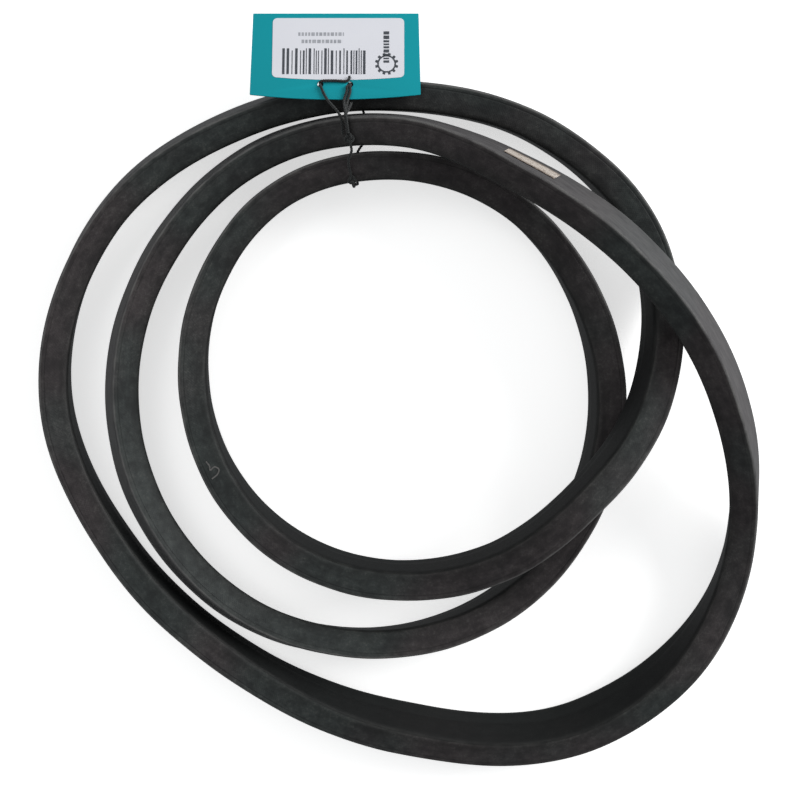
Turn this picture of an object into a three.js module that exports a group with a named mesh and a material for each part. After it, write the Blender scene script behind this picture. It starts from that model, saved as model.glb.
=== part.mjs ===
// Wrapped agricultural V belt of HI section. The endless belt is coiled into three
// turns, laid on its side edge and tied with a string that also carries a hang tag.
// Millimetres, +Z up. The origin is the middle of the bottom of the whole object.
import * as THREE from 'three';
import { mergeVertices } from 'three/addons/utils/BufferGeometryUtils.js';

const { degToRad, euclideanModulo } = THREE.MathUtils;

// Belt. The back is the wide outer face and the base is the narrow inner face.
const TOP_WIDTH = 25.4;
const THICKNESS = 12.7;
const WEDGE_ANGLE = degToRad(26);
const OUTSIDE_LENGTH = 2360;
const FIT = 0.3;
const CORE_CLEARANCE = 0.5;

// Layers inside the cover, from the back to the base.
const COVER_THICKNESS = 0.8;
const COVER_BEVEL = 1.2;
const COVER_LAP = 4;
const LAP_EDGE = -2.6;
const TOP_RUBBER_THICKNESS = 1.05;
const ADHESION_THICKNESS = 0.6;
const CORD_DIAMETER = 1.9;
const CORD_CLEARANCE = 0.7 * (TOP_WIDTH / 25.4);
const CORD_TURNS = 6;
const CORD_PITCH = 3.1;
const CORD_SIDES = 4;

// Coil. A turn that crosses another rides one belt width and RIDE_GAP above it.
const RIDE_GAP = 0.9;
const ROW_ANGLE = degToRad(30);
const STEPS_PER_ROW = 3;
const TWIST_PER_STEP = 5;
const FLAT_ROLL = THREE.MathUtils.radToDeg(WEDGE_ANGLE) / 2;

// Size label on the back of the belt, between two places along the coil.
const LABEL_FROM = 24.72;
const LABEL_TO = 25.2;
const LABEL_WIDTH = 14;
const LABEL_THICKNESS = 0.3;

// Tie string, its two knots and the places where it crosses the three turns.
const STRING_DIAMETER = 1.3;
const STRING_SIDES = 8;
const KNOT_RADIUS = 1.6;
const KNOT_TUBE = 0.6;
const LOOP_KNOT_RADIUS = 1.1;
const LOOP_KNOT_TUBE = 0.5;
const OUTER_TIE = 35.76;
const MIDDLE_TIE = 23.715;
const INNER_TIE = 11.62;
const KNOT_OFFSET = -2.6;
const LOOP_KNOT_OFFSET = -5.2;

// Hang tag. It lies on the outer turn, sloping down outwards over its edge.
const TAG_LENGTH = 74;
const TAG_OUTER_LENGTH = 72.4;
const TAG_HEIGHT = 37.5;
const TAG_THICKNESS = 0.6;
const TAG_BOW = 2.2;
const TAG_SLOPE = degToRad(15.5);
const TAG_SHIFT = -27.4;
const TAG_SEAT = 6.8;
const TAG_LIFT = 0.8;
const HOLE_DIAMETER = 3.6;
const HOLE_SPACING = 13;
const HOLE_INSET = 4.6;
const STICKER_LENGTH = 57.5;
const STICKER_HEIGHT = 27.5;
const STICKER_INSET = 7.8;
const STICKER_SHIFT = 1.2;
const STICKER_CORNER = 3;
const STICKER_THICKNESS = 0.15;

// The coil's route, one row every 30 degrees of bearing over three turns: the lane
// (belt thicknesses outwards from the middle turn), the reach from the coil's centre
// less those lanes, the roll of the section in degrees (back tilted up) and the level
// in belt widths above the surface that the coil lies on.
const ROUTE = [
  [1, 119, 4, 0.12], [1, 120, 1, 0], [1, 117, -7, 0],
  [0, 110.5, -13, 0.8], [-1, 104, -10, 1.14], [-1, 99, -9, 0.7],
  [-1, 98.5, -9, 0.15], [-1, 99.5, -9, 0], [-1, 101.5, -4, 0],
  [-1, 105, 2, 0], [-1, 111, 7, 0], [-1, 116, 5, 0],
  [-1, 114, 4, 0.12], [-1, 111.5, 5, 0], [-1, 107, -3, 0],
  [-1, 107, -9, 0], [0, 99, -8, 0], [0, 107.5, -5, 0],
  [0, 116, 5, 0], [0, 124, 19, 0], [0, 126.5, 22, 0],
  [0, 126, 19, 0], [0, 124, 14, 0], [0, 122.5, 11, 0.05],
  [0, 115.5, 9, 0.68], [0, 109.5, 19, 1.1], [0, 119, 24, 1.47],
  [1, 130.5, 24, 1.18], [1, 163.5, 5, 0], [1, 164.5, -36, 0],
  [1, 142.5, -32, 0], [1, 131.5, -10, 0], [1, 133.5, -3, 0],
  [1, 143, 5, 0], [1, 140, FLAT_ROLL, 0], [1, 127, FLAT_ROLL, 0],
];

const BACK = THICKNESS / 2;
const BASE = -THICKNESS / 2;
const CORD_TOP = BACK - COVER_THICKNESS - TOP_RUBBER_THICKNESS - ADHESION_THICKNESS
  - 2 * FIT - CORD_CLEARANCE;
const CORD_DEPTH = BACK - CORD_TOP + CORD_DIAMETER / 2;

// Half of the belt's width at a height above or below the middle of its thickness.
function halfWidth(height) {
  return TOP_WIDTH / 2 - (BACK - height) * Math.tan(WEDGE_ANGLE / 2);
}

const CORNERS = [
  [BACK, halfWidth(BACK)], [BACK, -halfWidth(BACK)],
  [BASE, -halfWidth(BASE)], [BASE, halfWidth(BASE)],
];

// Height of the section's centre over its lowest corner, for a roll in radians.
function restHeight(roll) {
  return Math.max(...CORNERS.map(([a, b]) => -a * Math.sin(roll) - b * Math.cos(roll)));
}

// Even slope for a smooth curve, and a slope that never overshoots its rows.
function evenSlope(before, after) {
  return (before + after) / 2;
}

function calmSlope(before, after) {
  return before * after > 0 ? 2 * before * after / (before + after) : 0;
}

// Value at place t of a closed list of row values, by cubic pieces.
function valueAt(values, t, slope) {
  const row = Math.floor(t);
  const f = t - row;
  const at = (shift) => values[euclideanModulo(row + shift, values.length)];
  const steps = [at(0) - at(-1), at(1) - at(0), at(2) - at(1)];
  const start = slope(steps[0], steps[1]);
  const end = slope(steps[1], steps[2]);
  return at(0) + f * start + f * f * (3 * steps[1] - 2 * start - end)
    + f * f * f * (start + end - 2 * steps[1]);
}

// A route's frame finder: x points to the back, y across the belt, z along it.
function routeFrames(scale) {
  const radii = ROUTE.map(([lane, reach]) => reach * scale + lane * THICKNESS);
  const rolls = ROUTE.map((row) => degToRad(row[2]));
  const levels = ROUTE.map((row) => row[3] * (TOP_WIDTH + RIDE_GAP));
  const rollAt = (t) => valueAt(rolls, t, calmSlope);
  const centreAt = (t) => {
    const radius = valueAt(radii, t, evenSlope);
    const height = restHeight(rollAt(t)) + valueAt(levels, t, calmSlope);
    const bearing = t * ROW_ANGLE;
    return new THREE.Vector3(radius * Math.sin(bearing), radius * Math.cos(bearing), height);
  };
  return (t) => {
    const along = centreAt(t + 0.01).sub(centreAt(t - 0.01)).normalize();
    const outward = new THREE.Vector3(-along.y, along.x, 0).normalize();
    const upward = along.clone().cross(outward);
    const frame = new THREE.Matrix4().makeBasis(outward, upward, along);
    return frame.multiply(new THREE.Matrix4().makeRotationZ(rollAt(t))).setPosition(centreAt(t));
  };
}

// Places along the route: three to a row, and more where the belt twists.
function routePlaces() {
  const places = [];
  ROUTE.forEach((row, index) => {
    const next = ROUTE[(index + 1) % ROUTE.length];
    const twist = Math.abs(next[2] - row[2]);
    const steps = Math.max(STEPS_PER_ROW, Math.ceil(twist / TWIST_PER_STEP));
    for (let step = 0; step < steps; step += 1) {
      places.push(index + step / steps);
    }
  });
  return places;
}

function pointIn(frame, a, b) {
  return new THREE.Vector3(a, b, 0).applyMatrix4(frame);
}

function loopLength(frames, height) {
  const points = frames.map((frame) => pointIn(frame, height, 0));
  return points.reduce((sum, point, i) => sum + point.distanceTo(points.at(i - 1)), 0);
}

// The plan is scaled until the cord line has the length of the belt's own cord line.
function solveRoute() {
  const target = OUTSIDE_LENGTH - 2 * Math.PI * CORD_DEPTH;
  const places = routePlaces();
  let scale = 1;
  for (let pass = 0; pass < 8; pass += 1) {
    scale *= target / loopLength(places.map(routeFrames(scale)), BACK - CORD_DEPTH);
  }
  return routeFrames(scale);
}

const frameAt = solveRoute();
const STATIONS = routePlaces().map(frameAt);

function atBelt(t, a, b) {
  return pointIn(frameAt(t), a, b);
}

// A point over the upper flank of the belt, at a height between base and back.
function overFlank(t, height, clearance) {
  return atBelt(t, height, halfWidth(height) + clearance / Math.cos(WEDGE_ANGLE / 2));
}

// Both triangles of each side panel share the diagonal that rises with a (on the
// flanks) or with b (on the other faces), so nested layers twist alike.
function alignDiagonals(position, first, count) {
  const corner = (index) => new THREE.Vector3().fromBufferAttribute(position, index);
  for (let start = first; start < first + count; start += 6) {
    const [near, next, far] = [corner(start), corner(start + 1), corner(start + 4)];
    const opposite = corner(start + 5);
    const rise = next.clone().sub(near);
    const lead = Math.abs(rise.y) >= Math.abs(rise.x) ? rise.y : rise.x;
    if (lead > 0) {
      [near, next, far, near, far, opposite].forEach((point, i) => {
        position.setXYZ(start + i, point.x, point.y, point.z);
      });
    }
  }
}

function closeMesh(geometry) {
  geometry.deleteAttribute('normal');
  geometry.deleteAttribute('uv');
  return mergeVertices(geometry);
}

// A section carried through frames. A closed ring drops the two end caps.
function sweep(shape, frames, isRing) {
  const steps = isRing ? frames.length : frames.length - 1;
  const bar = new THREE.ExtrudeGeometry(shape, { depth: steps, steps, bevelEnabled: false });
  const position = bar.getAttribute('position');
  const [, sides] = bar.groups;
  alignDiagonals(position, sides.start, sides.count);
  const point = new THREE.Vector3();
  for (let i = 0; i < position.count; i += 1) {
    point.fromBufferAttribute(position, i);
    const frame = frames[Math.round(point.z) % frames.length];
    point.setZ(0).applyMatrix4(frame);
    position.setXYZ(i, point.x, point.y, point.z);
  }
  if (isRing) {
    const walls = position.array.slice(sides.start * 3, (sides.start + sides.count) * 3);
    bar.setAttribute('position', new THREE.BufferAttribute(walls, 3));
  }
  return closeMesh(bar);
}

function outline(points) {
  return new THREE.Shape(points.map(([x, y]) => new THREE.Vector2(x, y)));
}

function roundSection(diameter, sides) {
  const points = [];
  for (let side = 0; side < sides; side += 1) {
    const angle = side * 2 * Math.PI / sides;
    points.push([Math.cos(angle) * diameter / 2, Math.sin(angle) * diameter / 2]);
  }
  return outline(points);
}

function rubber(color, roughness) {
  return new THREE.MeshStandardMaterial({ color, roughness, metalness: 0 });
}

function piece(name, geometry, material) {
  const mesh = new THREE.Mesh(geometry, material);
  mesh.name = name;
  return mesh;
}

// Fabric cover, wrapped once round the core. Its two edges lap on the base.
function beltCover() {
  const slant = 1 / Math.cos(WEDGE_ANGLE / 2);
  const along = COVER_BEVEL * Math.cos(WEDGE_ANGLE / 2);
  const setBack = BASE + COVER_THICKNESS + FIT;
  const inside = (height) => halfWidth(height) - COVER_THICKNESS * slant;
  const backInside = BACK - COVER_THICKNESS;
  const baseInside = BASE + COVER_THICKNESS;
  const underLap = setBack + COVER_THICKNESS;
  const lapEnd = LAP_EDGE + COVER_LAP;
  return outline([
    [BASE, LAP_EDGE],
    [BASE, halfWidth(BASE) - COVER_BEVEL], [BASE + along, halfWidth(BASE + along)],
    [BACK - along, halfWidth(BACK - along)], [BACK, halfWidth(BACK) - COVER_BEVEL],
    [BACK, COVER_BEVEL - halfWidth(BACK)], [BACK - along, -halfWidth(BACK - along)],
    [setBack + along, -halfWidth(setBack + along)],
    [setBack, COVER_BEVEL - halfWidth(setBack)],
    [setBack, lapEnd], [underLap, lapEnd],
    [underLap, -inside(underLap)], [backInside, -inside(backInside)],
    [backInside, inside(backInside)], [baseInside, inside(baseInside)],
    [baseInside, LAP_EDGE],
  ]);
}

function insideCover(height) {
  return halfWidth(height) - (COVER_THICKNESS + CORE_CLEARANCE) / Math.cos(WEDGE_ANGLE / 2);
}

// A flat layer of the core between two heights, as wide as the cover leaves it.
function layer(top, bottom) {
  return outline([
    [top, insideCover(top)], [top, -insideCover(top)],
    [bottom, -insideCover(bottom)], [bottom, insideCover(bottom)],
  ]);
}

// Compression rubber, stepped on the base to make room for the lap of the cover.
function compressionSection(top) {
  const floor = BASE + COVER_THICKNESS + CORE_CLEARANCE;
  const step = floor + COVER_THICKNESS + FIT;
  const stepEdge = LAP_EDGE + COVER_LAP + CORE_CLEARANCE;
  return outline([
    [top, insideCover(top)], [top, -insideCover(top)],
    [step, -insideCover(step)], [step, stepEdge],
    [floor, stepEdge], [floor, insideCover(floor)],
  ]);
}

// One cord, wound through the ring again and again from one flank to the other.
function tensileCord() {
  const height = BACK - CORD_DEPTH;
  const start = -CORD_TURNS * CORD_PITCH / 2;
  const frames = [];
  for (let step = 0; step <= CORD_TURNS * STATIONS.length; step += 1) {
    const across = start + CORD_PITCH * step / STATIONS.length;
    const shift = new THREE.Matrix4().makeTranslation(height, across, 0);
    frames.push(STATIONS[step % STATIONS.length].clone().multiply(shift));
  }
  return sweep(roundSection(CORD_DIAMETER, CORD_SIDES), frames, false);
}

function coreLayers() {
  const topRubber = BACK - COVER_THICKNESS - FIT;
  const upperAdhesion = topRubber - TOP_RUBBER_THICKNESS - FIT;
  const lowerAdhesion = CORD_TOP - CORD_DIAMETER - CORD_CLEARANCE;
  const compression = lowerAdhesion - ADHESION_THICKNESS - FIT;
  const ring = (section) => sweep(section, STATIONS, true);
  return [
    piece('top_rubber', ring(layer(topRubber, topRubber - TOP_RUBBER_THICKNESS)),
      rubber(0x1c1c1e, 0.7)),
    piece('upper_adhesion_rubber', ring(layer(upperAdhesion, upperAdhesion - ADHESION_THICKNESS)),
      rubber(0x262322, 0.65)),
    piece('tensile_cord', tensileCord(), rubber(0xd9cfb4, 0.6)),
    piece('lower_adhesion_rubber', ring(layer(lowerAdhesion, lowerAdhesion - ADHESION_THICKNESS)),
      rubber(0x262322, 0.65)),
    piece('compression_rubber', ring(compressionSection(compression)), rubber(0x19191a, 0.75)),
  ];
}

// Paper label stuck on the back, bent along the belt.
function sizeLabel() {
  const steps = 6;
  const frames = [];
  for (let step = 0; step <= steps; step += 1) {
    frames.push(frameAt(THREE.MathUtils.lerp(LABEL_FROM, LABEL_TO, step / steps)));
  }
  const inner = BACK + FIT;
  const outer = inner + LABEL_THICKNESS;
  const edge = LABEL_WIDTH / 2;
  return sweep(outline([[inner, -edge], [outer, -edge], [outer, edge], [inner, edge]]),
    frames, false);
}

// The tag's own frame: x along its inner edge, y outwards over the card, z up.
function tagFrame() {
  const seat = atBelt(0, BACK, halfWidth(BACK));
  const frame = new THREE.Matrix4().makeTranslation(seat.x + TAG_SHIFT, seat.y, seat.z + TAG_LIFT);
  frame.multiply(new THREE.Matrix4().makeRotationX(-TAG_SLOPE));
  return frame.multiply(new THREE.Matrix4().makeTranslation(0, -TAG_SEAT, 0));
}

const TAG_FRAME = tagFrame();

// Card with a bowed inner edge and two punched holes near it.
function tagCard() {
  const card = new THREE.Shape();
  card.moveTo(-TAG_LENGTH / 2, 0);
  card.quadraticCurveTo(0, -2 * TAG_BOW, TAG_LENGTH / 2, 0);
  card.lineTo(TAG_OUTER_LENGTH / 2, TAG_HEIGHT);
  card.lineTo(-TAG_OUTER_LENGTH / 2, TAG_HEIGHT);
  card.closePath();
  for (const side of [-1, 1]) {
    const hole = new THREE.Path();
    hole.absarc(side * HOLE_SPACING / 2, HOLE_INSET, HOLE_DIAMETER / 2, 0, 2 * Math.PI, true);
    card.holes.push(hole);
  }
  return closeMesh(new THREE.ExtrudeGeometry(card, {
    depth: TAG_THICKNESS, bevelEnabled: false, curveSegments: 8,
  }));
}

function tagSticker() {
  const right = STICKER_LENGTH / 2;
  const top = STICKER_HEIGHT;
  const corner = STICKER_CORNER;
  const sticker = new THREE.Shape();
  sticker.moveTo(corner - right, 0);
  sticker.lineTo(right - corner, 0);
  sticker.absarc(right - corner, corner, corner, -Math.PI / 2, 0);
  sticker.absarc(right - corner, top - corner, corner, 0, Math.PI / 2);
  sticker.absarc(corner - right, top - corner, corner, Math.PI / 2, Math.PI);
  sticker.absarc(corner - right, corner, corner, Math.PI, 1.5 * Math.PI);
  const geometry = new THREE.ExtrudeGeometry(sticker, {
    depth: STICKER_THICKNESS, bevelEnabled: false, curveSegments: 4,
  });
  geometry.translate(STICKER_SHIFT, STICKER_INSET, TAG_THICKNESS + FIT);
  return closeMesh(geometry);
}

function placeInTag(mesh) {
  mesh.applyMatrix4(TAG_FRAME);
  return mesh;
}

// An overhand knot pulled tight, lying on the belt's upper flank.
function knot(name, t, height, radius, tube) {
  const geometry = new THREE.TorusKnotGeometry(radius, tube, 32, 6, 2, 3);
  geometry.rotateX(Math.PI / 2);
  const mesh = piece(name, closeMesh(geometry), rubber(0x131314, 0.85));
  mesh.applyMatrix4(frameAt(t));
  mesh.position.copy(overFlank(t, height, FIT + radius / 2 + tube));
  return mesh;
}

function cordAlong(points, steps) {
  const curve = new THREE.CatmullRomCurve3(points, false, 'centripetal');
  return closeMesh(new THREE.ExtrudeGeometry(roundSection(STRING_DIAMETER, STRING_SIDES), {
    steps, bevelEnabled: false, extrudePath: curve,
  }));
}

// Tie string. Its radius and a gap keep it off the belt it lies on.
const LIE = STRING_DIAMETER / 2 + FIT;
const KNOT_EDGE = 1.5 * KNOT_RADIUS + KNOT_TUBE + FIT;
const LOOP_KNOT_EDGE = 1.5 * LOOP_KNOT_RADIUS + LOOP_KNOT_TUBE + FIT;

// From the knot on the middle turn to the loop knot on the inner turn's edge.
function stringOver() {
  return [
    overFlank(MIDDLE_TIE, KNOT_OFFSET - KNOT_EDGE, LIE + 0.5),
    atBelt(MIDDLE_TIE, BASE - 1.6, halfWidth(BASE) + 0.8),
    overFlank(INNER_TIE, 3, LIE + 1.4),
    overFlank(INNER_TIE, LOOP_KNOT_OFFSET + LOOP_KNOT_EDGE, LIE + 0.3),
  ];
}

// Down the base of the inner turn, under all three turns, up the back of the outer
// turn, beneath the tag and over the middle turn to the knot.
function stringUnder() {
  const low = (point, rise = 0.16) => point.setZ(STRING_DIAMETER / 2 + rise);
  const inside = BASE - LIE - 0.2;
  const outside = BACK + LIE + 0.1;
  const base = halfWidth(BASE);
  const back = halfWidth(BACK);
  return [
    overFlank(INNER_TIE, LOOP_KNOT_OFFSET - LOOP_KNOT_EDGE, LIE + 0.2),
    atBelt(INNER_TIE, inside - 0.6, base - 2),
    atBelt(INNER_TIE, inside, 2),
    atBelt(INNER_TIE, inside, 3 - base),
    atBelt(INNER_TIE, inside + 0.4, -base - 0.7),
    low(atBelt(INNER_TIE, BASE + 3, -base), 0.4),
    low(atBelt(INNER_TIE + 0.03, BACK, -base)),
    low(atBelt(MIDDLE_TIE + 0.03, 0, -base)),
    low(atBelt(OUTER_TIE, BASE, -base)),
    low(atBelt(OUTER_TIE, BACK - 3, -base), 0.4),
    atBelt(OUTER_TIE, outside - 0.4, -back - 0.4),
    atBelt(OUTER_TIE, outside, 4 - back),
    atBelt(OUTER_TIE, outside, 0),
    atBelt(OUTER_TIE, outside, back - 3),
    atBelt(OUTER_TIE, BACK + 0.9, back + 0.6),
    overFlank(OUTER_TIE, BACK - 2.5, LIE),
    overFlank(OUTER_TIE, 0, LIE + 0.4),
    atBelt(MIDDLE_TIE + 0.03, BACK + 3.4, back - 3),
    atBelt(MIDDLE_TIE + 0.03, BACK + 0.9, back + 0.7),
    overFlank(MIDDLE_TIE + 0.03, KNOT_OFFSET + KNOT_EDGE, LIE + 0.6),
  ];
}

// From the knot over the card's inner border, through both holes and back.
function bridle() {
  const onCard = (x, y, z) => new THREE.Vector3(x, y, z).applyMatrix4(TAG_FRAME);
  const top = TAG_THICKNESS + LIE;
  const half = HOLE_SPACING / 2;
  const right = MIDDLE_TIE - 0.005;
  const left = MIDDLE_TIE - 0.038;
  const corner = halfWidth(BACK) + 1.1;
  return [
    overFlank(right, KNOT_OFFSET + KNOT_EDGE + 0.1, LIE + 0.8),
    atBelt(right, BACK + 0.9, corner),
    onCard(half - 0.9, -2.9, top + 0.2), onCard(half, 1, top), onCard(half, 3.4, top),
    onCard(half, HOLE_INSET, TAG_THICKNESS / 2), onCard(half - 1.2, HOLE_INSET, -LIE),
    onCard(1.2 - half, HOLE_INSET, -LIE), onCard(-half, HOLE_INSET, TAG_THICKNESS / 2),
    onCard(-half, 3.4, top), onCard(-half, 1, top), onCard(1 - half, -2.9, top + 0.2),
    atBelt(left, BACK + 0.9, corner),
    overFlank(left, KNOT_OFFSET + KNOT_EDGE - 0.2, LIE + 0.8),
  ];
}

function tiePieces() {
  const cotton = () => rubber(0x141415, 0.9);
  return [
    piece('tie_string_over', cordAlong(stringOver(), 12), cotton()),
    piece('tie_string_under', cordAlong(stringUnder(), 64), cotton()),
    piece('tag_bridle_string', cordAlong(bridle(), 56), cotton()),
    knot('tie_knot', MIDDLE_TIE, KNOT_OFFSET, KNOT_RADIUS, KNOT_TUBE),
    knot('loop_knot', INNER_TIE, LOOP_KNOT_OFFSET, LOOP_KNOT_RADIUS, LOOP_KNOT_TUBE),
  ];
}

const belt = new THREE.Group();
belt.add(piece('belt_cover', sweep(beltCover(), STATIONS, true), rubber(0x222324, 0.6)));
belt.add(...coreLayers());
belt.add(piece('size_label', sizeLabel(), rubber(0xd8d3c4, 0.8)));
belt.add(...tiePieces());
belt.add(placeInTag(piece('tag_card', tagCard(), rubber(0x1f7f86, 0.6))));
belt.add(placeInTag(piece('tag_sticker', tagSticker(), rubber(0xeeeeec, 0.5))));

// The whole object is moved so that the middle of its bottom is the origin.
const box = new THREE.Box3().setFromObject(belt);
const middle = box.getCenter(new THREE.Vector3());
belt.position.set(-middle.x, -middle.y, -box.min.z);

export default belt;
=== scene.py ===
import math
import random

import bpy
import bmesh
import numpy as np
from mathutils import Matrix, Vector


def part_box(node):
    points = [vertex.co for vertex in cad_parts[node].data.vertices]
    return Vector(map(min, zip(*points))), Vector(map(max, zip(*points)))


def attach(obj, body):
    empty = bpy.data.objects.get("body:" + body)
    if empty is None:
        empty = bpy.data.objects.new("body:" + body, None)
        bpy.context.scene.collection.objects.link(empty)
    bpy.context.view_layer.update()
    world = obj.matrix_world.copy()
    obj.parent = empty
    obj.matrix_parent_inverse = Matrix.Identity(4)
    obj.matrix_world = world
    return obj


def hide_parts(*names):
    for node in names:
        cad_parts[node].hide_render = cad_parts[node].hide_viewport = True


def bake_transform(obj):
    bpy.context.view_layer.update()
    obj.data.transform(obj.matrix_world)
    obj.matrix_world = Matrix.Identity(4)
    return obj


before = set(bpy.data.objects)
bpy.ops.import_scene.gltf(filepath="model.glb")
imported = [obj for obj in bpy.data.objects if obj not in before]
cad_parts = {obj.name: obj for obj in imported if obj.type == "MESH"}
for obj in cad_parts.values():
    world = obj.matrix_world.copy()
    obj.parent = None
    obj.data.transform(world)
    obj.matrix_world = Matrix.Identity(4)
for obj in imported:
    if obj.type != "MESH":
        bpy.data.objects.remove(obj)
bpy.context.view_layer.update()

# The belt's route, in millimetres.
# One endless wrapped V belt of the wide HI section, coiled in three turns on its side edge.
# A row each 30 degrees gives the lane, the reach from the coil's centre, roll and level.
MM = 0.001
TOP_WIDTH = 25.4
THICKNESS = 12.7
HALF_WEDGE = math.radians(13)
OUTSIDE_LENGTH = 2360
CORD_DEPTH = 4.7
RIDE_GAP = 0.9
FLAT_ROLL = 13
ROW_ANGLE = math.radians(30)
BACK = THICKNESS / 2
BASE = -THICKNESS / 2
ROUTE = np.array([
    [1, 119, 4, 0.12], [1, 120, 1, 0], [1, 117, -7, 0],
    [0, 110.5, -13, 0.8], [-1, 104, -10, 1.14], [-1, 99, -9, 0.7],
    [-1, 98.5, -9, 0.15], [-1, 99.5, -9, 0], [-1, 101.5, -4, 0],
    [-1, 105, 2, 0], [-1, 111, 7, 0], [-1, 116, 5, 0],
    [-1, 114, 4, 0.12], [-1, 111.5, 5, 0], [-1, 107, -3, 0],
    [-1, 107, -9, 0], [0, 99, -8, 0], [0, 107.5, -5, 0],
    [0, 116, 5, 0], [0, 124, 19, 0], [0, 126.5, 22, 0],
    [0, 126, 19, 0], [0, 124, 14, 0], [0, 122.5, 11, 0.05],
    [0, 115.5, 9, 0.68], [0, 109.5, 19, 1.1], [0, 119, 24, 1.47],
    [1, 130.5, 24, 1.18], [1, 163.5, 5, 0], [1, 164.5, -36, 0],
    [1, 142.5, -32, 0], [1, 131.5, -10, 0], [1, 133.5, -3, 0],
    [1, 143, 5, 0], [1, 140, FLAT_ROLL, 0], [1, 127, FLAT_ROLL, 0],
])


def half_width(height):
    return TOP_WIDTH / 2 - (BACK - height) * math.tan(HALF_WEDGE)


def even_slope(before, after):
    return (before + after) / 2


def calm_slope(before, after):
    both = before * after
    return np.where(both > 0, 2 * both / np.where(both > 0, before + after, 1), 0)


def row_value(values, t, slope):
    row = np.floor(t).astype(int)
    f = t - row
    near = [values[(row + shift) % len(values)] for shift in (-1, 0, 1, 2)]
    steps = np.diff(near, axis=0)
    start, end = slope(steps[0], steps[1]), slope(steps[1], steps[2])
    return (near[1] + f * start + f**2 * (3 * steps[1] - 2 * start - end)
            + f**3 * (start + end - 2 * steps[1]))


def rest_height(roll):
    corners = [(BACK, half_width(BACK)), (BACK, -half_width(BACK)),
               (BASE, half_width(BASE)), (BASE, -half_width(BASE))]
    return np.max([-a * np.sin(roll) - b * np.cos(roll) for a, b in corners], axis=0)


def route_centre(t, scale):
    radius = row_value(ROUTE[:, 1] * scale + ROUTE[:, 0] * THICKNESS, t, even_slope)
    roll = row_value(np.radians(ROUTE[:, 2]), t, calm_slope)
    level = row_value(ROUTE[:, 3] * (TOP_WIDTH + RIDE_GAP), t, calm_slope)
    bearing = ROW_ANGLE * t
    return np.stack([radius * np.sin(bearing), radius * np.cos(bearing),
                     rest_height(roll) + level], axis=1), roll


def unit(vectors):
    return vectors / np.linalg.norm(vectors, axis=1, keepdims=True)


def route_frames(t, scale):
    """The section's centre, its way to the back and its way across, at each place t."""
    t = np.atleast_1d(np.asarray(t, float))
    centre, roll = route_centre(t, scale)
    along = unit(route_centre(t + 0.01, scale)[0] - route_centre(t - 0.01, scale)[0])
    outward = unit(np.stack([-along[:, 1], along[:, 0], 0 * roll], axis=1))
    upward = np.cross(along, outward)
    c, s = np.cos(roll)[:, None], np.sin(roll)[:, None]
    return centre, outward * c + upward * s, upward * c - outward * s


STATIONS = 1080
places = np.arange(STATIONS) * len(ROUTE) / STATIONS


def closed_length(points):
    return np.linalg.norm(points - np.roll(points, 1, axis=0), axis=1).sum()


plan_scale = 1.0
cord_length = OUTSIDE_LENGTH - 2 * math.pi * CORD_DEPTH
for _ in range(8):
    centre, to_back, across = route_frames(places, plan_scale)
    plan_scale *= cord_length / closed_length(centre + to_back * (BACK - CORD_DEPTH))

centre, to_back, across = route_frames(places, plan_scale)
reach = np.concatenate([centre + to_back * BACK + across * half_width(BACK),
                        centre + to_back * BACK - across * half_width(BACK)])
cover_low, cover_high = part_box("belt_cover")
coil_centre = (cover_low + cover_high) / 2 / MM
coil_centre -= Vector((reach.min(axis=0) + reach.max(axis=0)) / 2)
coil_centre.z = 0


def on_belt(t, a, b):
    """A point of the section at place t, a towards the back and b across, in metres."""
    middle, back, side = route_frames(t, plan_scale)
    return Vector(middle[0] + back[0] * a + side[0] * b + np.array(coil_centre)) * MM


# Camera and studio.
# The coil lies on a pale sheet and is seen from almost straight above, a little from
# the tag's side. A large soft light stands low on the right and a fill on the left.
VIEW_DISTANCE = 0.65
VIEW_TILT = math.radians(5)
FILM_WIDTH, LENS = 36, 63
SHIFT_X, SHIFT_Y = 0.0025, -0.015
SHEET = 60


def linear(hex_colour):
    """An sRGB hex colour as linear red, green, blue and alpha."""
    parts = [int(hex_colour[i:i + 2], 16) / 255 for i in (1, 3, 5)]
    return [p / 12.92 if p <= 0.04045 else ((p + 0.055) / 1.055) ** 2.4 for p in parts] + [1]


def add(tree, kind, inputs=None, **settings):
    """Adds a node; each input takes a value or another node's output."""
    made = tree.nodes.new(kind)
    for name, value in settings.items():
        setattr(made, name, value)
    for socket, value in (inputs or {}).items():
        if isinstance(value, bpy.types.NodeSocket):
            tree.links.new(value, made.inputs[socket])
        else:
            made.inputs[socket].default_value = value
    return made


def new_material(name):
    material = bpy.data.materials.new(name)
    material.use_nodes = True
    material.node_tree.nodes.clear()
    return material, material.node_tree


def finish_material(tree, inputs):
    shader = add(tree, "ShaderNodeBsdfPrincipled", inputs)
    add(tree, "ShaderNodeOutputMaterial", {"Surface": shader.outputs["BSDF"]})


camera = bpy.data.objects.new("camera", bpy.data.cameras.new("camera"))
bpy.context.scene.collection.objects.link(camera)
bpy.context.scene.camera = camera
viewed_from = Vector((0, math.sin(VIEW_TILT), math.cos(VIEW_TILT)))
camera.location = coil_centre * MM + viewed_from * VIEW_DISTANCE
camera.rotation_euler = (-VIEW_TILT, 0, 0)
camera.data.sensor_width = FILM_WIDTH
camera.data.lens = LENS
camera.data.shift_x = SHIFT_X
camera.data.shift_y = SHIFT_Y

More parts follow.
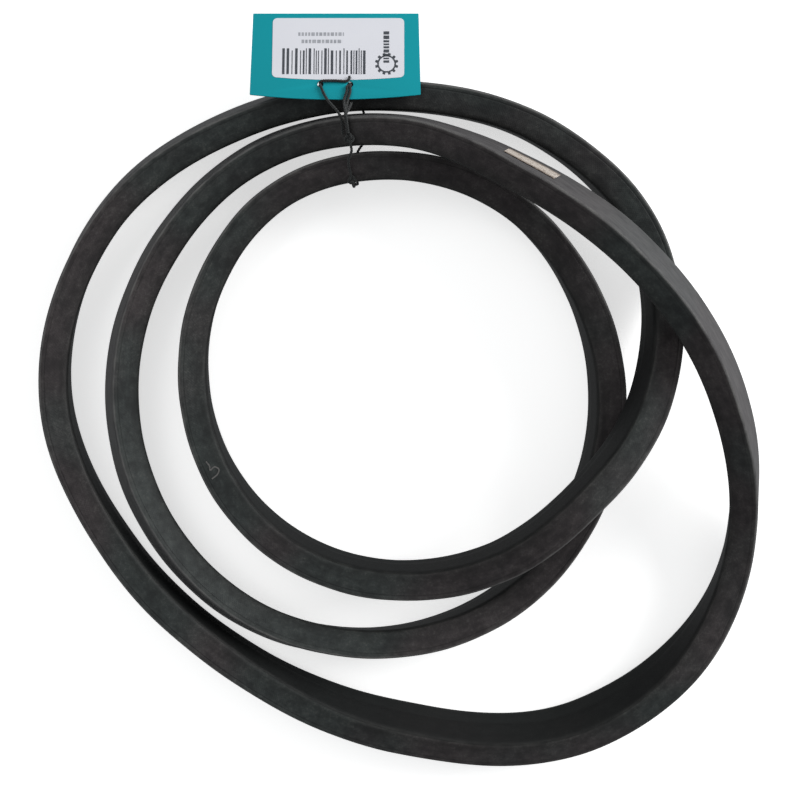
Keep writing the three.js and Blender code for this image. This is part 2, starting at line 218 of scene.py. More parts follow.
# The sheet glows a little so that it stays near white, and is kept from lighting the belt.
floor_mesh = bpy.data.meshes.new("floor")
sheet_corners = [(-SHEET, -SHEET, 0), (SHEET, -SHEET, 0), (SHEET, SHEET, 0), (-SHEET, SHEET, 0)]
floor_mesh.from_pydata(sheet_corners, [], [(0, 1, 2, 3)])
floor = bpy.data.objects.new("floor", floor_mesh)
bpy.context.scene.collection.objects.link(floor)
paper, tree = new_material("studio_paper")
finish_material(tree, {"Base Color": linear("#f6f6f5"), "Roughness": 0.9,
                       "Emission Color": linear("#ffffff"), "Emission Strength": 0.6})
floor_mesh.materials.append(paper)
floor.visible_diffuse = False
floor.visible_glossy = False


def soft_light(name, place, size, power):
    light = bpy.data.objects.new(name, bpy.data.lights.new(name, "AREA"))
    light.data.shape = "SQUARE"
    light.data.size = size
    light.data.energy = power
    light.location = place
    light.rotation_euler = (-Vector(place)).to_track_quat("-Z", "Y").to_euler()
    bpy.context.scene.collection.objects.link(light)


soft_light("key", (2.0, 1.0, 0.9), 1.3, 56)
soft_light("fill", (-1.2, 1.2, 1.9), 1.6, 13)
world = bpy.data.worlds.new("studio")
world.use_nodes = True
world.node_tree.nodes["Background"].inputs["Color"].default_value = linear("#f6f8fa")
world.node_tree.nodes["Background"].inputs["Strength"].default_value = 0.4
bpy.context.scene.world = world
bpy.context.scene.view_settings.view_transform = "Standard"

# The core.
# Tension rubber, one long polyester cord between two soft layers, and the wedge of
# compression rubber, all vulcanised together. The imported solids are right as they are.
def mm_noise(tree, place, size_mm, detail=3.0, roughness=0.5):
    """Noise whose largest clumps are about size_mm across."""
    return add(tree, "ShaderNodeTexNoise", {"Vector": place, "Scale": 1 / (size_mm * MM),
                                            "Detail": detail, "Roughness": roughness}).outputs["Fac"]


def mix_colour(tree, factor, first, second):
    made = add(tree, "ShaderNodeMix", {"Factor": factor}, data_type="RGBA")
    for socket, value in ((made.inputs[6], first), (made.inputs[7], second)):
        if isinstance(value, bpy.types.NodeSocket):
            tree.links.new(value, socket)
        else:
            socket.default_value = linear(value)
    return made.outputs[2]


def moulded(name, colour, second, roughness, grit_mm):
    """Plain moulded stuff: two tones in slow clouds, with a fine grit on the surface."""
    material, tree = new_material(name)
    place = add(tree, "ShaderNodeTexCoord").outputs["Object"]
    tone = mix_colour(tree, mm_noise(tree, place, 12, 4.0), colour, second)
    bump = add(tree, "ShaderNodeBump", {"Height": mm_noise(tree, place, grit_mm), "Strength": 0.4,
                                        "Distance": 0.1 * MM})
    finish_material(tree, {"Base Color": tone, "Roughness": roughness,
                           "Normal": bump.outputs["Normal"]})
    return material


core_rubber = moulded("core_rubber", "#1a1a1b", "#29282a", 0.7, 0.4)
soft_rubber = moulded("adhesion_rubber", "#262220", "#38322e", 0.6, 0.3)
polyester = moulded("polyester_cord", "#d9cfb4", "#b3a689", 0.6, 0.25)
for node_name, material, slot_name in (
        ("top_rubber", core_rubber, "core_rubber"),
        ("upper_adhesion_rubber", soft_rubber, "adhesion_rubber"),
        ("tensile_cord", polyester, "polyester_cord"),
        ("lower_adhesion_rubber", soft_rubber, "adhesion_rubber"),
        ("compression_rubber", core_rubber, "core_rubber")):
    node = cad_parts[node_name]
    node.data.materials.clear()
    node.data.materials.append(material)

# The cover.
# Rubbered cotton and polyester fabric, wrapped once round the core on the bias with its
# edge lapped on the base, then cured in a ring mould that leaves the faces a bit uneven.
COVER = 0.6
LAP_STEP = 0.65
LAP_EDGE = -2.6
LAP_END = 1.4
BASE_ROUND = 2.6
BACK_ROUND = 1.7
GROOVE_DEPTH = 2.5
BIAS = 42
THREAD = 0.95


def rounded(corners):
    """An open path through corners (a, b, radius, steps), each rounded off."""
    places = [np.array(corner[:2], float) for corner in corners]
    path = []
    for i, (a, b, radius, steps) in enumerate(corners):
        if not radius:
            path.append(places[i])
            continue
        before = places[i - 1] - places[i]
        after = places[i + 1] - places[i]
        before = places[i] + before / np.linalg.norm(before) * radius
        after = places[i] + after / np.linalg.norm(after) * radius
        for f in np.linspace(0, 1, steps + 1):
            path.append((1 - f) ** 2 * before + 2 * f * (1 - f) * places[i] + f**2 * after)
    return path


def divided(path, longest):
    made = []
    for near, far in zip(path, path[1:]):
        count = max(1, math.ceil(np.linalg.norm(far - near) / longest))
        made += [near + (far - near) * k / count for k in range(count)]
    return made + [path[-1]]


def inside(height):
    return half_width(height) - COVER / math.cos(HALF_WEDGE)


step_base = BASE + LAP_STEP
outer = divided(rounded([
    (BASE + 0.1, LAP_EDGE, 0, 0), (BASE, LAP_EDGE + 0.3, 0, 0),
    (BASE, half_width(BASE), BASE_ROUND, 8), (BACK, half_width(BACK), BACK_ROUND, 6),
    (BACK, -half_width(BACK), BACK_ROUND, 6), (step_base, -half_width(step_base), BASE_ROUND, 8),
    (step_base, LAP_END, 0, 0)]), 2.2)
inner = rounded([
    (step_base + COVER, LAP_END, 0, 0), (step_base + COVER, -inside(step_base + COVER), 0, 0),
    (BACK - COVER, -inside(BACK - COVER), 0, 0), (BACK - COVER, inside(BACK - COVER), 0, 0),
    (BASE + COVER, inside(BASE + COVER), 0, 0), (BASE + COVER, LAP_EDGE, 0, 0)])
section = np.array(outer + inner)
corner_points = np.array([(BASE, half_width(BASE)), (BACK, half_width(BACK)),
                          (BACK, -half_width(BACK)), (step_base, -half_width(step_base))])
edge_mask = np.exp(-(np.min(np.linalg.norm(section[:, None] - corner_points[None], axis=2),
                            axis=1) / 1.0) ** 2)
turn = 2 * math.pi * np.arange(STATIONS) / STATIONS
wander = random.Random(7)


def slow_wave(cycles, size):
    """A closed, seeded wave along the belt, made of a few whole cycles."""
    total = np.zeros(STATIONS)
    for count in cycles:
        total += size * wander.uniform(0.5, 1) * np.sin(count * turn + wander.uniform(0, 6.28))
    return total


swell_back = slow_wave((23, 41, 67), 0.07)
swell_flank = slow_wave((19, 37, 71), 0.07)
lap_wander = slow_wave((9, 17, 29, 53), 0.22)
rows = []
for a, b in section:
    bulge_a = np.where(a > 0, swell_back, -0.5 * swell_back) * min(1, abs(a) / BACK)
    bulge_b = math.copysign(1, b) * swell_flank * min(1, abs(b) / 9)
    near_lap = math.exp(-((b - LAP_EDGE) / 0.8) ** 2) if a < BASE + COVER + 0.05 else 0
    rows.append(centre + to_back * (a + bulge_a)[:, None]
                + across * (b + bulge_b + near_lap * lap_wander)[:, None])
vertices = (np.stack(rows, axis=1).reshape(-1, 3) + np.array(coil_centre)) * MM
sides = len(section)
station = np.arange(STATIONS)[:, None]
side = np.arange(sides)[None]
ahead, beside = (station + 1) % STATIONS, (side + 1) % sides
quads = np.stack([station * sides + side, station * sides + beside,
                  ahead * sides + beside, ahead * sides + side], axis=2).reshape(-1, 4)

back_line = centre + to_back * BACK
steps = np.linalg.norm(np.roll(back_line, -1, axis=0) - back_line, axis=1)
run = np.concatenate([[0], np.cumsum(steps)]) * MM
girth = np.linalg.norm(np.roll(section, -1, axis=0) - section, axis=1)
girth = np.concatenate([[0], np.cumsum(girth)]) * MM
s, k = np.broadcast_arrays(station, side)
cloth = np.stack([np.stack([run[s], girth[k]], -1), np.stack([run[s], girth[k + 1]], -1),
                  np.stack([run[s + 1], girth[k + 1]], -1), np.stack([run[s + 1], girth[k]], -1)],
                 axis=2).reshape(-1, 2)

cover_mesh = bpy.data.meshes.new("wrapped_cover")
cover_mesh.from_pydata(vertices.tolist(), [], quads.tolist())
layer = cover_mesh.uv_layers.new(name="cloth")
layer.data.foreach_set("uv", cloth.astype(np.float32).ravel())
for mask_name, values in (("edge", edge_mask), ("back", section[:, 0] > BACK - 0.9),
                          ("base", section[:, 0] < BASE + 0.9),
                          ("far_side", section[:, 1] < LAP_EDGE - 0.1),
                          ("height", section[:, 0])):
    mask = cover_mesh.attributes.new(mask_name, "FLOAT", "POINT")
    mask.data.foreach_set("value", np.tile(values.astype(np.float32), STATIONS))
shaped = bmesh.new()
shaped.from_mesh(cover_mesh)
if shaped.calc_volume(signed=True) < 0:
    bmesh.ops.reverse_faces(shaped, faces=shaped.faces)
shaped.to_mesh(cover_mesh)
shaped.free()
cover_mesh.shade_smooth()
cover_mesh.set_sharp_from_angle(angle=math.radians(50))
cover = bpy.data.objects.new("wrapped_cover", cover_mesh)
bpy.context.scene.collection.objects.link(cover)


def maths(tree, operation, *values, clamp=False):
    return add(tree, "ShaderNodeMath", dict(enumerate(values)), operation=operation,
               use_clamp=clamp).outputs[0]


def ramp(tree, factor, low, high):
    """0 below low and 1 above high."""
    return add(tree, "ShaderNodeMapRange", {"Value": factor, "From Min": low, "From Max": high},
               interpolation_type="SMOOTHSTEP").outputs["Result"]


fabric, tree = new_material("wrapped_fabric")
cloth_uv = add(tree, "ShaderNodeUVMap", uv_map="cloth").outputs["UV"]
place = add(tree, "ShaderNodeTexCoord").outputs["Object"]
# A wave texture repeats every 2 pi / 20 of its own unit.
WAVES = 20
threads = []
for angle in (BIAS, -BIAS):
    turned = add(tree, "ShaderNodeMapping", {"Vector": cloth_uv,
                                             "Rotation": (0, 0, math.radians(angle))})
    threads.append(add(tree, "ShaderNodeTexWave", {
        "Vector": turned.outputs["Vector"], "Scale": 2 * math.pi / (WAVES * THREAD * MM),
        "Distortion": 0.6, "Detail": 2.0, "Detail Scale": 1.5}).outputs["Fac"])
weave = maths(tree, "MAXIMUM", *threads)
edge = add(tree, "ShaderNodeAttribute", attribute_name="edge").outputs["Fac"]
on_back = add(tree, "ShaderNodeAttribute", attribute_name="back").outputs["Fac"]
on_base = add(tree, "ShaderNodeAttribute", attribute_name="base").outputs["Fac"]
far_side = add(tree, "ShaderNodeAttribute", attribute_name="far_side").outputs["Fac"]
height = add(tree, "ShaderNodeAttribute", attribute_name="height").outputs["Fac"]
drawn = add(tree, "ShaderNodeMapping", {"Vector": cloth_uv, "Scale": (0.3, 1, 1)}).outputs[0]
streak = mm_noise(tree, drawn, 2.6, 5.0, 0.6)
cloud = mm_noise(tree, place, 26, 5.0, 0.6)
speckle = mm_noise(tree, place, 1.1, 4.0, 0.7)
mottle = mm_noise(tree, place, 4.5, 5.0, 0.65)
tone = maths(tree, "MULTIPLY_ADD", streak, 0.25, maths(tree, "MULTIPLY", cloud, 0.35))
tone = maths(tree, "MULTIPLY_ADD", mottle, 0.4, tone)
warmth = ramp(tree, mm_noise(tree, place, 75, 2.0), 0.42, 0.6)
colour = mix_colour(tree, ramp(tree, tone, 0.36, 0.64), mix_colour(tree, warmth, "#202323", "#252223"),
                    mix_colour(tree, warmth, "#343938", "#3b3637"))
# Painted shade: the cover is painted darker from the middle of the section down to its base.
colour = mix_colour(tree, maths(tree, "MULTIPLY", ramp(tree, height, 1.0, -5.5), 0.4), colour, "#171817")
# Partly rubbed wear and partly painted light: the back face is painted lighter in streaks, standing in
# for the light from the right falling on it.
back_wear_and_light = maths(tree, "MULTIPLY_ADD", ramp(tree, streak, 0.2, 0.75), 0.35, 0.35)
colour = mix_colour(tree, maths(tree, "MULTIPLY", on_back, back_wear_and_light), colour, "#5f5e5f")
talc = maths(tree, "MULTIPLY", ramp(tree, speckle, 0.42, 0.8), ramp(tree, tone, 0.42, 0.62))
colour = mix_colour(tree, maths(tree, "MULTIPLY", talc, 0.4), colour, "#62635f")
# Painted shade: the base is painted nearly black, and the part of the section beyond the lap edge a
# little lighter again.
colour = mix_colour(tree, maths(tree, "MULTIPLY", on_base, 0.85), colour, "#0b0d0d")
colour = mix_colour(tree, maths(tree, "MULTIPLY", far_side, 0.12), colour, "#2d3130")
# Partly wear and partly painted highlight: the rounded corners are painted lighter in streaks, most
# strongly at the back corners.
wear_and_edge_highlight = maths(tree, "MULTIPLY", edge, ramp(tree, streak, 0.3, 0.75))
wear_and_edge_highlight = maths(tree, "MULTIPLY", wear_and_edge_highlight, maths(tree, "MULTIPLY_ADD", ramp(tree, height, -2.0, 2.0), 0.7, 0.3))
colour = mix_colour(tree, maths(tree, "MULTIPLY", wear_and_edge_highlight, 0.75), colour, "#6e6e6a")
# Painted shade: a dark line is painted along the groove 2.5 mm below the back on each flank, beside the
# groove's bump.
groove = maths(tree, "ABSOLUTE", maths(tree, "SUBTRACT", height, BACK - GROOVE_DEPTH))
groove = ramp(tree, groove, 0.5, 0.1)
colour = mix_colour(tree, maths(tree, "MULTIPLY", groove, 0.25), colour, "#0e0f0f")
relief = maths(tree, "MULTIPLY_ADD", weave, 0.35, maths(tree, "MULTIPLY", speckle, 0.35))
relief = maths(tree, "MULTIPLY_ADD", streak, 0.6, relief)
relief = maths(tree, "MULTIPLY_ADD", groove, -1.2, relief)
bump = add(tree, "ShaderNodeBump", {"Height": relief, "Strength": 0.6, "Distance": 0.14 * MM})
finish_material(tree, {"Base Color": colour,
                       "Roughness": maths(tree, "MULTIPLY_ADD", speckle, 0.25, 0.5),
                       "Specular IOR Level": 0.25, "Normal": bump.outputs["Normal"]})
cover_mesh.materials.append(fabric)
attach(cover, "belt")
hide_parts("belt_cover")

# The chalk mark.
# A faint hook of chalk left on the upper flank of the inner turn when it was stored.
# Its dust lies unevenly on the weave.
def mesh_piece(name, vertices, faces, material, crease=40):
    mesh = bpy.data.meshes.new(name)
    mesh.from_pydata([tuple(v) for v in vertices], [], faces)
    shaped = bmesh.new()
    shaped.from_mesh(mesh)
    bmesh.ops.remove_doubles(shaped, verts=shaped.verts, dist=1e-7)
    bmesh.ops.recalc_face_normals(shaped, faces=shaped.faces)
    shaped.to_mesh(mesh)
    shaped.free()
    mesh.shade_smooth()
    mesh.set_sharp_from_angle(angle=math.radians(crease))
    mesh.materials.append(material)
    piece = bpy.data.objects.new(name, mesh)
    bpy.context.scene.collection.objects.link(piece)
    return piece


def over_flank(t, height, clearance):
    """A point over the upper flank of the belt."""
    return on_belt(t, height, half_width(height) + clearance / math.cos(HALF_WEDGE))


def smooth_path(points, step_mm=0.35, closed=False):
    """Close points on a smooth curve through the given ones."""
    points = [np.array(p, float) for p in points]
    last = 2 * points[-1] - points[-2]
    first = 2 * points[0] - points[1]
    chain = [points[-1], *points, points[0], points[1]] if closed else [first, *points, last]
    made = []
    for p0, p1, p2, p3 in zip(chain, chain[1:], chain[2:], chain[3:]):
        knots = [0.0]
        for near, far in ((p0, p1), (p1, p2), (p2, p3)):
            knots.append(knots[-1] + math.sqrt(np.linalg.norm(far - near)))
        t0, t1, t2, t3 = knots
        count = max(2, round(np.linalg.norm(p2 - p1) / (step_mm * MM)))
        for t in np.linspace(t1, t2, count, endpoint=False):
            a1 = (p0 * (t1 - t) + p1 * (t - t0)) / (t1 - t0)
            a2 = (p1 * (t2 - t) + p2 * (t - t1)) / (t2 - t1)
            a3 = (p2 * (t3 - t) + p3 * (t - t2)) / (t3 - t2)
            b1 = (a1 * (t2 - t) + a2 * (t - t0)) / (t2 - t0)
            b2 = (a2 * (t3 - t) + a3 * (t - t1)) / (t3 - t1)
            made.append((b1 * (t2 - t) + b2 * (t - t1)) / (t2 - t1))
    return made if closed else made + [points[-1]]


chalk, tree = new_material("chalk")
place = add(tree, "ShaderNodeTexCoord").outputs["Object"]
tone = mix_colour(tree, mm_noise(tree, place, 0.8, 4.0, 0.7), "#353535", "#72706e")
finish_material(tree, {"Base Color": tone, "Roughness": 0.95})
ROW_MM = 47
stroke = [(8.17, 2.4), (8.185, -0.8), (8.22, -2.2), (8.26, -0.9), (8.25, 1.3), (8.29, 0.9), (8.34, 1.5)]
stroke = smooth_path([(t * ROW_MM * MM, h * MM, 0) for t, h in stroke], 0.4)
points, faces = [], []
for i, here in enumerate(stroke):
    ahead_point = stroke[min(i + 1, len(stroke) - 1)] - stroke[max(i - 1, 0)]
    ahead_point /= np.linalg.norm(ahead_point)
    for lift in (0.12, 0.22):
        for hand in (-0.3, 0.3):
            t = (here[0] / MM - ahead_point[1] * hand) / ROW_MM
            points.append(over_flank(t, here[1] / MM + ahead_point[0] * hand, lift))
    if i:
        a, b = 4 * i - 4, 4 * i
        faces += [(a, a + 1, b + 1, b), (a + 2, b + 2, b + 3, a + 3), (a, b, b + 2, a + 2),
                  (a + 1, a + 3, b + 3, b + 1)]
faces += [(0, 2, 3, 1), (b, b + 1, b + 3, b + 2)]
chalk_mark = mesh_piece("chalk_mark", points, faces, chalk)
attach(chalk_mark, "belt")

# The size label.
# A strip of pale paper stuck across the back of the belt on the crossing at the upper
# right, soiled brown along its edges by handling.
label_paper, tree = new_material("label_paper")
label_uv = add(tree, "ShaderNodeUVMap", uv_map="sheet").outputs["UV"]
place = add(tree, "ShaderNodeTexCoord").outputs["Object"]
split = add(tree, "ShaderNodeSeparateXYZ", {0: label_uv})
rim = [maths(tree, "MINIMUM", split.outputs[c], maths(tree, "SUBTRACT", 1.0, split.outputs[c]))
       for c in ("X", "Y")]
soil = maths(tree, "ADD", rim[1], maths(tree, "MULTIPLY", mm_noise(tree, place, 3, 5.0, 0.7), 0.25))
tone = mix_colour(tree, ramp(tree, soil, 0.1, 0.42), "#6c6056", "#b9b0a7")
tone = mix_colour(tree, ramp(tree, mm_noise(tree, place, 1.2, 4.0, 0.7), 0.5, 0.66), tone, "#85786c")
finish_material(tree, {"Base Color": tone, "Roughness": 0.8})

LABEL_FROM, LABEL_TO, LABEL_HALF = 24.79, 25.21, 5.6
label_rows, label_cols = 40, 20
sheet = []
wander = random.Random(3)
for i in range(label_rows + 1):
    t = LABEL_FROM + (LABEL_TO - LABEL_FROM) * i / label_rows
    ragged = [wander.uniform(-0.15, 0.15) for _ in range(2)]
    for j in range(label_cols + 1):
        b = (2 * j / label_cols - 1) * (LABEL_HALF + ragged[j * 2 > label_cols])
        lift = 0.22 + 0.06 * math.sin(i * 0.9) * math.sin(j * 0.7)
        sheet.append((on_belt(t, BACK + lift, b), on_belt(t, BACK + lift + 0.16, b)))
count = len(sheet)
points = [upper for _, upper in sheet] + [lower for lower, _ in sheet]
wide = label_cols + 1
cells = [i * wide + j for i in range(label_rows) for j in range(label_cols)]
faces = [(n, n + 1, n + wide + 1, n + wide) for n in cells]
faces += [tuple(count + v for v in reversed(face)) for face in faces]
rim_loop = (list(range(wide)) + [i * wide + label_cols for i in range(1, label_rows + 1)]
            + [label_rows * wide + j for j in range(label_cols - 1, -1, -1)]
            + [i * wide for i in range(label_rows - 1, 0, -1)])
faces += [(rim_loop[i - 1], count + rim_loop[i - 1], count + v, v) for i, v in enumerate(rim_loop)]
label = mesh_piece("worn_label", points, faces, label_paper)
layer = label.data.uv_layers.new(name="sheet")
for loop in label.data.loops:
    n = loop.vertex_index % count
    layer.data[loop.index].uv = ((n // wide) / label_rows, (n % wide) / label_cols)
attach(label, "belt")
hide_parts("size_label")

# The tie string.
# Black cotton string of three plies, run once round the three turns on the tag's side of
# the coil and closed with an overhand knot, with a small second knot on the inner turn.
PLIES = 3.0


def twisted_string_nodes():
    """Sweeps a three-lobed section along each chain of edges, turning as it goes."""
    group = bpy.data.node_groups.new("twisted_string", "GeometryNodeTree")
    face = group.interface
    face.new_socket("Geometry", in_out="INPUT", socket_type="NodeSocketGeometry")
    face.new_socket("Thickness", in_out="INPUT", socket_type="NodeSocketFloat")
    face.new_socket("Lay length", in_out="INPUT", socket_type="NodeSocketFloat")
    face.new_socket("Material", in_out="INPUT", socket_type="NodeSocketMaterial")
    face.new_socket("Geometry", in_out="OUTPUT", socket_type="NodeSocketGeometry")
    given = add(group, "NodeGroupInput")
    chain = add(group, "GeometryNodeMeshToCurve", {"Mesh": given.outputs["Geometry"]})
    along = add(group, "GeometryNodeSplineParameter")
    turns = add(group, "ShaderNodeMath", {0: along.outputs["Length"], 1: given.outputs["Lay length"]},
                operation="DIVIDE")
    tilt = add(group, "ShaderNodeMath", {0: turns.outputs[0], 1: 2 * math.pi}, operation="MULTIPLY")
    tilted = add(group, "GeometryNodeSetCurveTilt", {"Curve": chain.outputs["Curve"],
                                                     "Tilt": tilt.outputs[0]})
    radius = add(group, "ShaderNodeMath", {0: given.outputs["Thickness"], 1: 0.5},
                 operation="MULTIPLY")
    ring = add(group, "GeometryNodeCurvePrimitiveCircle", {"Resolution": 15,
                                                           "Radius": radius.outputs[0]})
    place = add(group, "GeometryNodeInputPosition")
    split = add(group, "ShaderNodeSeparateXYZ", {0: place.outputs[0]})
    angle = add(group, "ShaderNodeMath", {0: split.outputs["Y"], 1: split.outputs["X"]},
                operation="ARCTAN2")
    lobes = add(group, "ShaderNodeMath", {0: angle.outputs[0], 1: PLIES}, operation="MULTIPLY")
    wave = add(group, "ShaderNodeMath", {0: lobes.outputs[0]}, operation="COSINE")
    depth = add(group, "ShaderNodeMath", {0: wave.outputs[0], 1: 0.15, 2: 0.88},
                operation="MULTIPLY_ADD")
    shaped = add(group, "ShaderNodeVectorMath", {0: place.outputs[0], "Scale": depth.outputs[0]},
                 operation="SCALE")
    plies = add(group, "GeometryNodeSetPosition", {"Geometry": ring.outputs["Curve"],
                                                   "Position": shaped.outputs[0]})
    swept = add(group, "GeometryNodeCurveToMesh", {"Curve": tilted.outputs["Curve"],
                                                   "Profile Curve": plies.outputs["Geometry"],
                                                   "Fill Caps": True})
    whole = add(group, "GeometryNodeRealizeInstances", {"Geometry": swept.outputs["Mesh"]})
    dyed = add(group, "GeometryNodeSetMaterial", {"Geometry": whole.outputs["Geometry"],
                                                  "Material": given.outputs["Material"]})
    add(group, "NodeGroupOutput", {"Geometry": dyed.outputs["Geometry"]})
    return group


TWISTED = twisted_string_nodes()
LAY_LENGTH = 3.2


def string_piece(name, chains, thickness_mm, material):
    """Twisted string along one or more chains; a chain is (points, closed)."""
    vertices, edges = [], []
    for points, closed in chains:
        first = len(vertices)
        vertices += [tuple(p) for p in points]
        edges += [(i, i + 1) for i in range(first, len(vertices) - 1)]
        if closed:
            edges.append((len(vertices) - 1, first))
    mesh = bpy.data.meshes.new(name + "_line")
    mesh.from_pydata(vertices, edges, [])
    line = bpy.data.objects.new(name + "_line", mesh)
    bpy.context.scene.collection.objects.link(line)
    modifier = line.modifiers.new("twisted", "NODES")
    modifier.node_group = TWISTED
    wanted = {"Thickness": thickness_mm * MM, "Lay length": LAY_LENGTH * MM, "Material": material}
    for item in TWISTED.interface.items_tree:
        if item.in_out == "INPUT" and item.name in wanted:
            modifier[item.identifier] = wanted[item.name]
    bpy.context.view_layer.update()
    depsgraph = bpy.context.evaluated_depsgraph_get()
    made = bpy.data.meshes.new_from_object(line.evaluated_get(depsgraph))
    line.modifiers.clear()
    bpy.data.objects.remove(line)
    made.shade_smooth()
    piece = bpy.data.objects.new(name, made)
    bpy.context.scene.collection.objects.link(piece)
    return piece


cotton, tree = new_material("tie_cotton")
place = add(tree, "ShaderNodeTexCoord").outputs["Object"]
fibre = mm_noise(tree, place, 0.5, 5.0, 0.75)
tone = mix_colour(tree, fibre, "#0c0e0e", "#232727")
bump = add(tree, "ShaderNodeBump", {"Height": fibre, "Strength": 0.7, "Distance": 0.12 * MM})
finish_material(tree, {"Base Color": tone, "Roughness": 0.85, "Sheen Weight": 0.25,
                       "Sheen Roughness": 0.5, "Normal": bump.outputs["Normal"]})

STRING = 1.3
LIE = STRING / 2 + 0.3
OUTER_TIE, MIDDLE_TIE, INNER_TIE = 35.76, 23.715, 11.62
KNOT_OFFSET, LOOP_KNOT_OFFSET = -2.6, -5.2
KNOT_EDGE, LOOP_KNOT_EDGE = 3.3, 2.45
side_base, side_back = half_width(BASE), half_width(BACK)


def low(point, rise=0.16):
    point.z = (STRING / 2 + rise) * MM
    return point


over = [
    over_flank(MIDDLE_TIE, KNOT_OFFSET - KNOT_EDGE + 1.2, LIE + 0.5),
    on_belt(MIDDLE_TIE, BASE - 1.6, side_base + 0.8),
    over_flank(INNER_TIE, 3, LIE + 1.4),
    over_flank(INNER_TIE, LOOP_KNOT_OFFSET + LOOP_KNOT_EDGE - 1.2, LIE + 0.3),
]
within, without = BASE - LIE - 0.2, BACK + LIE + 0.1
under = [
    over_flank(INNER_TIE, LOOP_KNOT_OFFSET - LOOP_KNOT_EDGE + 1.0, LIE + 0.2),
    on_belt(INNER_TIE, within - 0.6, side_base - 2), on_belt(INNER_TIE, within, 2),
    on_belt(INNER_TIE, within, 3 - side_base), on_belt(INNER_TIE, within + 0.4, -side_base - 0.7),
    low(on_belt(INNER_TIE, BASE + 3, -side_base), 0.4),
    low(on_belt(INNER_TIE + 0.03, BACK, -side_base)),
    low(on_belt(MIDDLE_TIE + 0.03, 0, -side_base)), low(on_belt(OUTER_TIE, BASE, -side_base)),
    low(on_belt(OUTER_TIE, BACK - 3, -side_base), 0.4),
    on_belt(OUTER_TIE, without - 0.4, -side_back - 0.4), on_belt(OUTER_TIE, without, 4 - side_back),
    on_belt(OUTER_TIE, without, 0), on_belt(OUTER_TIE, without, side_back - 3),
    on_belt(OUTER_TIE, BACK + 0.9, side_back + 0.6), over_flank(OUTER_TIE - 0.02, BACK - 2.5, LIE),
    over_flank(OUTER_TIE - 0.03, 0, LIE + 0.4), on_belt(MIDDLE_TIE, BACK + 3.4, side_back - 3),
    on_belt(MIDDLE_TIE - 0.003, BACK + 0.9, side_back + 0.7),
    over_flank(MIDDLE_TIE, KNOT_OFFSET + KNOT_EDGE - 1.2, LIE + 0.6),
]


def knot_path(t, height, radius, rise):
    """A closed trefoil lying on the upper flank."""
    middle, back, sideways = route_frames(t, plan_scale)
    forward = np.cross(back[0], sideways[0])
    hub = np.array(over_flank(t, height, rise))
    path = []
    for u in np.linspace(0, 4 * math.pi, 90, endpoint=False):
        swing = radius * (2 + math.cos(1.5 * u)) / 2
        path.append(hub + (back[0] * swing * math.cos(u) + forward * swing * math.sin(u)
                           + sideways[0] * radius * math.sin(1.5 * u) / 2) * MM)
    return path


for name, chains, thickness, node_name in (
        ("string_over", [(smooth_path(over), False)], STRING, "tie_string_over"),
        ("string_under", [(smooth_path(under), False)], STRING, "tie_string_under"),
        ("overhand_knot", [(knot_path(MIDDLE_TIE, KNOT_OFFSET, 1.25, 1.6), True)], STRING, "tie_knot"),
        ("small_knot", [(knot_path(INNER_TIE, LOOP_KNOT_OFFSET, 1.1, 1.4), True)], 1.1,
         "loop_knot")):
    piece = string_piece(name, chains, thickness, cotton)
    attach(piece, "belt")
    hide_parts(node_name)

# The hang tag.
# A blue-green card with a bowed inner edge and two punched holes, lying on the outer turn
# and sloping down over its edge. It lifts about its inner edge.
TAG_SLOPE = math.radians(15.5)
TAG_LENGTH, TAG_OUTER_LENGTH, TAG_HEIGHT, TAG_BOW = 74, 72.4, 37.5, 2.2
HOLE_SPACING, HOLE_INSET, HOLE = 13, 4.6, 2.8
CARD, CARD_ROUND = 0.6, 0.08
CARD_X, CARD_OVERLAP, CARD_REST = 27.4, 6.8, 0.8
tag_seat = on_belt(0, BACK, half_width(BACK)) / MM


def on_card(x, y, z):
    """A point given in the card's own frame: x along its inner edge, y outwards, z up."""
    y -= CARD_OVERLAP
    return Vector((tag_seat.x - CARD_X + x,
                   tag_seat.y + y * math.cos(TAG_SLOPE) + z * math.sin(TAG_SLOPE),
                   tag_seat.z + CARD_REST - y * math.sin(TAG_SLOPE) + z * math.cos(TAG_SLOPE))) * MM


def flat_piece(name, loops, thickness, lift, material, bevel=0.0):
    """A flat shape cut from sheet: an outline and its holes, in the card's frame."""
    curve = bpy.data.curves.new(name, "CURVE")
    curve.dimensions = "2D"
    curve.fill_mode = "BOTH"
    curve.extrude = thickness / 2 - bevel
    curve.bevel_depth = bevel
    for loop in loops:
        spline = curve.splines.new("POLY")
        spline.points.add(len(loop) - 1)
        spline.use_cyclic_u = True
        for point, (x, y) in zip(spline.points, loop):
            point.co = (x, y, 0, 1)
    shape = bpy.data.objects.new(name + "_outline", curve)
    bpy.context.scene.collection.objects.link(shape)
    bpy.context.view_layer.update()
    cut = bpy.data.meshes.new_from_object(shape.evaluated_get(bpy.context.evaluated_depsgraph_get()))
    points = [on_card(v.co.x, v.co.y, lift + thickness / 2 + v.co.z) for v in cut.vertices]
    faces = [tuple(face.vertices) for face in cut.polygons]
    bpy.data.objects.remove(shape)
    return mesh_piece(name, points, faces, material)


def circle(x, y, radius, count=32):
    turns = [2 * math.pi * i / count for i in range(count)]
    return [(x + radius * math.cos(u), y + radius * math.sin(u)) for u in turns]


